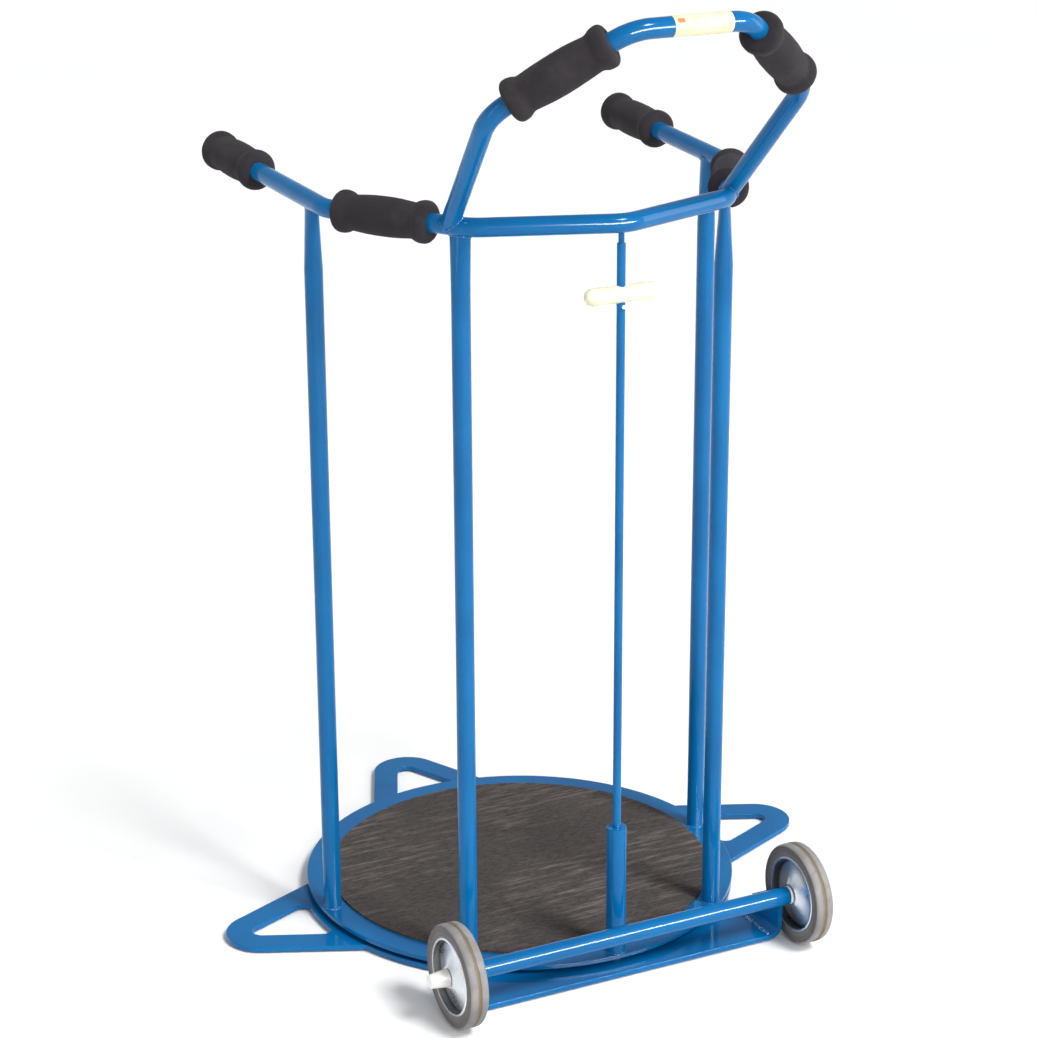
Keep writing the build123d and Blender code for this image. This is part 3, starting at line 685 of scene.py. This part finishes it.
def tyre(hand):
    """A moulded tyre: a crowned tread with a middle groove, and a raised ring on each flank."""
    low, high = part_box(f"wheel_tyre_{hand}")
    rim_low, rim_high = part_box(f"wheel_centre_{hand}")
    radius = (high.z - low.z) / 2
    inner = (rim_high.z - rim_low.z) / 2
    half = (high.x - low.x) / 2
    flank = half - TYRE_FLANK_INSET
    ring = (inner + radius) / 2
    # Corners as (along, radius, cut)
    one_side = [
        (flank - FLANK_STEP, inner, 0.3 * MM),
        (flank, inner + FLANK_STEP_HEIGHT, 0.7 * MM),
        (flank, ring - FLANK_RING, 0.3 * MM),
        (flank + FLANK_RING_HEIGHT, ring, 0.6 * MM),
        (flank, ring + FLANK_RING, 0.3 * MM),
        (half - SHOULDER_INSET, radius - TYRE_SHOULDER, 1.2 * MM),
        (half - TYRE_SHOULDER, radius - TREAD_CROWN, 1.8 * MM),
        (GROOVE_HALF, radius, 0.5 * MM),
        (GROOVE_HALF * GROOVE_FLOOR, radius - GROOVE_DEPTH, 0.4 * MM),
    ]
    other_side = [(-along, around, cut) for along, around, cut in reversed(one_side)]
    piece = lathe(
        f"tyre_{hand}",
        rounded(one_side + other_side, TYRE_CORNER_STEPS),
        (low + high) / 2,
        (1, 0, 0),
        f"wheel_{hand}",
        "grey_tyre",
        TYRE_SEGMENTS,
    )
    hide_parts(f"wheel_tyre_{hand}")


for hand in ("left", "right"):
    tyre(hand)


# ------------------------------------------------------------------ welds

BEAD_SIDES = 10
BEAD_STEP = 0.45 * MM
BEAD_FEWEST_STEPS = 8
# One ripple's length, then shares of a bead's radius: a trough's size, and what crests and lumps add
BEAD_RIPPLE = 2.6 * MM
BEAD_TROUGH = 0.86
BEAD_CREST = 0.24
BEAD_LUMPS = 0.15
BEAD_LUMP_WAVE = 300
# An open bead swells from this share of its size, over this many steps at each end
BEAD_TIP = 0.2
BEAD_TIP_STEPS = 5
# Points this near another node's surface lie on it
TOUCHING = 0.35 * MM
# The outer line of a tube's end, as a share of the end's reach
OUTER_SHARE = 0.93
SHORTEST_SPAN = 1e-9

POST_FOOT_BEAD = 1.7 * MM
POST_TOP_BEAD = 1.5 * MM
LOOP_FOOT_BEAD = 1.8 * MM
SOCKET_BEAD = 1.6 * MM
GUIDE_PIN_BEAD = 1.0 * MM
BRACKET_SEAM_BEAD = 2.6 * MM
AXLE_BEAD = 1.6 * MM
# How far a bracket's seam stops short of the bracket's ends
SEAM_MARGIN = 2 * MM
# The width of the strip of points that stand for a bracket's inner edge
EDGE_STRIP = 0.5 * MM


def skin_of(node):
    """A CAD node's surface, for finding what touches it."""
    mesh = nodes[node].data
    return BVHTree.FromPolygons(
        [vertex.co for vertex in mesh.vertices],
        [tuple(polygon.vertices) for polygon in mesh.polygons],
    )


def touching_points(node, other, keep):
    """The points of a CAD node, where keep says so, that lie on another node's surface."""
    skin = skin_of(other)
    return [
        vertex.co.copy()
        for vertex in nodes[node].data.vertices
        if keep(vertex.co) and skin.find_nearest(vertex.co)[3] < TOUCHING
    ]


def contact_loop(node, other, keep=lambda point: True):
    """The outer line, in order, along which a tube's end meets another CAD node."""
    touching = np.array(touching_points(node, other, keep))
    middle = touching.mean(axis=0)
    axes = np.linalg.svd(touching - middle, full_matrices=False)[2]
    flat = (touching - middle) @ axes[:2].T
    flat -= (flat.min(axis=0) + flat.max(axis=0)) / 2
    flat /= np.abs(flat).max(axis=0)
    outer = np.hypot(flat[:, 0], flat[:, 1]) > OUTER_SHARE
    turn = np.arctan2(flat[:, 1], flat[:, 0])
    order = [index for index in np.argsort(turn) if outer[index]]
    return [Vector(touching[index]) for index in order]


def evenly(points, step, closed):
    """Points every step or so along a line."""
    line = list(points) + ([points[0]] if closed else [])
    lengths = [0.0]
    for start, end in zip(line, line[1:]):
        lengths.append(lengths[-1] + (end - start).length)
    count = max(BEAD_FEWEST_STEPS, round(lengths[-1] / step))
    even = []
    section = 0
    for index in range(count if closed else count + 1):
        target = lengths[-1] * index / count
        while section < len(line) - 2 and lengths[section + 1] < target:
            section += 1
        span = max(lengths[section + 1] - lengths[section], SHORTEST_SPAN)
        share = (target - lengths[section]) / span
        even.append(line[section].lerp(line[section + 1], share))
    return even


def weld(name, points, radius, body, facing=None, paint=weld_paint):
    """A rippled bead along a closed line of points, or along an open one that faces a direction."""
    closed = facing is None
    line = evenly(points, BEAD_STEP, closed)
    last = len(line) - 1
    centre = sum(line, Vector()) / len(line)
    ring_points = []
    for index, point in enumerate(line):
        before = line[index - 1] if closed else line[max(index - 1, 0)]
        after = line[(index + 1) % len(line)] if closed else line[min(index + 1, last)]
        along = (after - before).normalized()
        outwards = point - centre if closed else Vector(facing)
        outwards = (outwards - along * outwards.dot(along)).normalized()
        sideways = along.cross(outwards)
        ripple = (index * BEAD_STEP / BEAD_RIPPLE) % 1.0
        lumps = BEAD_LUMPS * noise.noise(point * BEAD_LUMP_WAVE)
        size = radius * (BEAD_TROUGH + BEAD_CREST * (1 - ripple) ** 2 + lumps)
        if not closed:
            size *= min(1.0, BEAD_TIP + min(index, last - index) / BEAD_TIP_STEPS)
        for side in range(BEAD_SIDES):
            angle = 2 * pi * side / BEAD_SIDES
            ring_points.append(point + (outwards * cos(angle) + sideways * sin(angle)) * size)
    faces = grid_faces(len(line), BEAD_SIDES, wrap_rows=closed, wrap_columns=True)
    if not closed:
        faces.append(tuple(range(BEAD_SIDES)))
        faces.append(tuple(last * BEAD_SIDES + side for side in range(BEAD_SIDES)))
    piece = add_piece(name, ring_points, faces, body, "blue_paint", sharp_angle=80)
    piece.data.materials[0] = paint


def weld_frame():
    """The beads at the ends of the posts, the loop, the brake socket and the guide pin."""
    for post in ("front_left", "front_right", "rear_left", "rear_right"):
        node = f"upright_{post}"
        foot = contact_loop(node, "turntable_disc")
        weld(f"weld_{post}_foot", foot, POST_FOOT_BEAD, "turntable")
        top = contact_loop(node, "user_rail")
        weld(f"weld_{post}_top", top, POST_TOP_BEAD, "turntable")
    for hand, side in (("left", -1), ("right", 1)):
        foot = contact_loop("caregiver_loop", "user_rail", lambda point: point.x * side > 0)
        weld(f"weld_loop_{hand}", foot, LOOP_FOOT_BEAD, "turntable")
    socket_foot = contact_loop("brake_socket", "turntable_disc")
    weld("weld_socket", socket_foot, SOCKET_BEAD, "turntable")
    pin_end = contact_loop("rail_guide_pin", "user_rail")
    weld("weld_guide_pin", pin_end, GUIDE_PIN_BEAD, "turntable")


def weld_base():
    """The seams of the axle brackets, along the base plate and round the axle tube."""
    plate_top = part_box("base_plate")[1].z
    tube_low, tube_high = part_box("axle_tube")
    tube_middle = (tube_low + tube_high) / 2
    for hand, side in (("left", -1), ("right", 1)):
        low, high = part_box(f"wheel_bracket_{hand}")
        seam_x = side * min(abs(low.x), abs(high.x))
        seam = [
            Vector((seam_x, low.y + SEAM_MARGIN, plate_top)),
            Vector((seam_x, high.y - SEAM_MARGIN, plate_top)),
        ]
        weld(f"weld_seam_{hand}", seam, BRACKET_SEAM_BEAD, "base", (0, 0, 1), seam_paint)
        touching = touching_points(f"wheel_bracket_{hand}", "axle_tube", lambda point: True)
        inner_x = min(abs(point.x) for point in touching)
        arc = sorted(
            (point for point in touching if abs(point.x) < inner_x + EDGE_STRIP),
            key=lambda point: atan2(point.z - tube_middle.z, point.y - tube_middle.y),
        )
        weld(f"weld_axle_{hand}", arc, AXLE_BEAD, "base", (-side, 0, 0))


weld_frame()
weld_base()


# ------------------------------------------------------------------ stage, light and camera

FLOOR_SIZE = 60.0
SKY_TINT = (0.98, 0.99, 1.0, 1)
SKY_AT_HORIZON = 0.95
SKY_OVERHEAD = 0.42
# Heights above the horizon, as sines, between which the sky fades from one strength to the other
SKY_FADE_START = 0.1
SKY_FADE_END = 0.35
OBJECT_MIDDLE = Vector((0, 0, 0.5))

bpy.ops.mesh.primitive_plane_add(size=FLOOR_SIZE, location=(0, 0, 0))
floor = bpy.context.object
floor.name = "studio_floor"
floor.data.materials.append(floor_paper())


def studio_sky():
    """Bright all round at the horizon, like a seamless studio wall, and dimmer overhead."""
    world = bpy.data.worlds.new("studio")
    world.use_nodes = True
    tree = world.node_tree
    sky = tree.nodes["Background"]
    sky.inputs["Color"].default_value = SKY_TINT
    direction = tree.nodes.new("ShaderNodeTexCoord")
    height = tree.nodes.new("ShaderNodeSeparateXYZ")
    fade = tree.nodes.new("ShaderNodeMapRange")
    fade.inputs["From Min"].default_value = SKY_FADE_START
    fade.inputs["From Max"].default_value = SKY_FADE_END
    fade.inputs["To Min"].default_value = SKY_AT_HORIZON
    fade.inputs["To Max"].default_value = SKY_OVERHEAD
    tree.links.new(direction.outputs["Generated"], height.inputs[0])
    tree.links.new(height.outputs["Z"], fade.inputs["Value"])
    tree.links.new(fade.outputs["Result"], sky.inputs["Strength"])
    bpy.context.scene.world = world


def softbox(name, location, width, height, power, gloss_only=False):
    """A rectangular lamp that faces the object's middle; gloss_only keeps it to highlights."""
    lamp = bpy.data.lights.new(name, "AREA")
    lamp.shape = "RECTANGLE"
    lamp.size = width
    lamp.size_y = height
    lamp.energy = power
    box = bpy.data.objects.new(name, lamp)
    box.location = location
    box.rotation_euler = (OBJECT_MIDDLE - Vector(location)).to_track_quat("-Z", "Y").to_euler()
    box.visible_camera = False
    box.visible_diffuse = not gloss_only
    bpy.context.scene.collection.objects.link(box)


def key_light(direction, strength, spread):
    """The main light, far off and spread degrees wide: direction runs from it to the object."""
    lamp = bpy.data.lights.new("key", "SUN")
    lamp.energy = strength
    lamp.angle = radians(spread)
    key = bpy.data.objects.new("key", lamp)
    key.rotation_euler = Vector(direction).to_track_quat("-Z", "Y").to_euler()
    bpy.context.scene.collection.objects.link(key)


studio_sky()
key_light(direction=(-0.3, 0.75, -1.0), strength=2.85, spread=16)
softbox("front_bank", (0.5, -3.0, 1.6), width=2.5, height=1.0, power=40)
softbox("front_strip", (0.8, -3.0, 1.45), width=3.2, height=0.5, power=340, gloss_only=True)
softbox("left_bank", (-3.0, -0.4, 1.4), width=0.35, height=2.0, power=8)
softbox("right_bank", (2.8, -1.2, 1.3), width=0.6, height=2.2, power=14)
bpy.context.scene.view_settings.view_transform = "Standard"

CAMERA_YAW = radians(-25.94)
CAMERA_PITCH = radians(19.288)
CAMERA_ROLL = radians(-0.425)
CAMERA_LOCATION = (-1.4056, -2.8380, 1.5920)
CAMERA_SENSOR = 36.0
CAMERA_LENS = 93.44
CAMERA_SHIFT_X = 0.0186
CAMERA_SHIFT_Y = 0.0087


def place_camera():
    """A long lens, ahead of the wheels and to their left, looking a little down."""
    back = Vector((
        sin(CAMERA_YAW) * cos(CAMERA_PITCH),
        -cos(CAMERA_YAW) * cos(CAMERA_PITCH),
        sin(CAMERA_PITCH),
    ))
    level_right = Vector((cos(CAMERA_YAW), sin(CAMERA_YAW), 0))
    level_up = back.cross(level_right)
    right = level_right * cos(CAMERA_ROLL) + level_up * sin(CAMERA_ROLL)
    up = level_up * cos(CAMERA_ROLL) - level_right * sin(CAMERA_ROLL)
    lens = bpy.data.cameras.new("camera")
    lens.sensor_width = CAMERA_SENSOR
    lens.lens = CAMERA_LENS
    lens.shift_x = CAMERA_SHIFT_X
    lens.shift_y = CAMERA_SHIFT_Y
    camera = bpy.data.objects.new("camera", lens)
    turn = Matrix((right, up, back)).transposed().to_4x4()
    camera.matrix_world = Matrix.Translation(CAMERA_LOCATION) @ turn
    bpy.context.scene.collection.objects.link(camera)
    bpy.context.scene.camera = camera


place_camera()
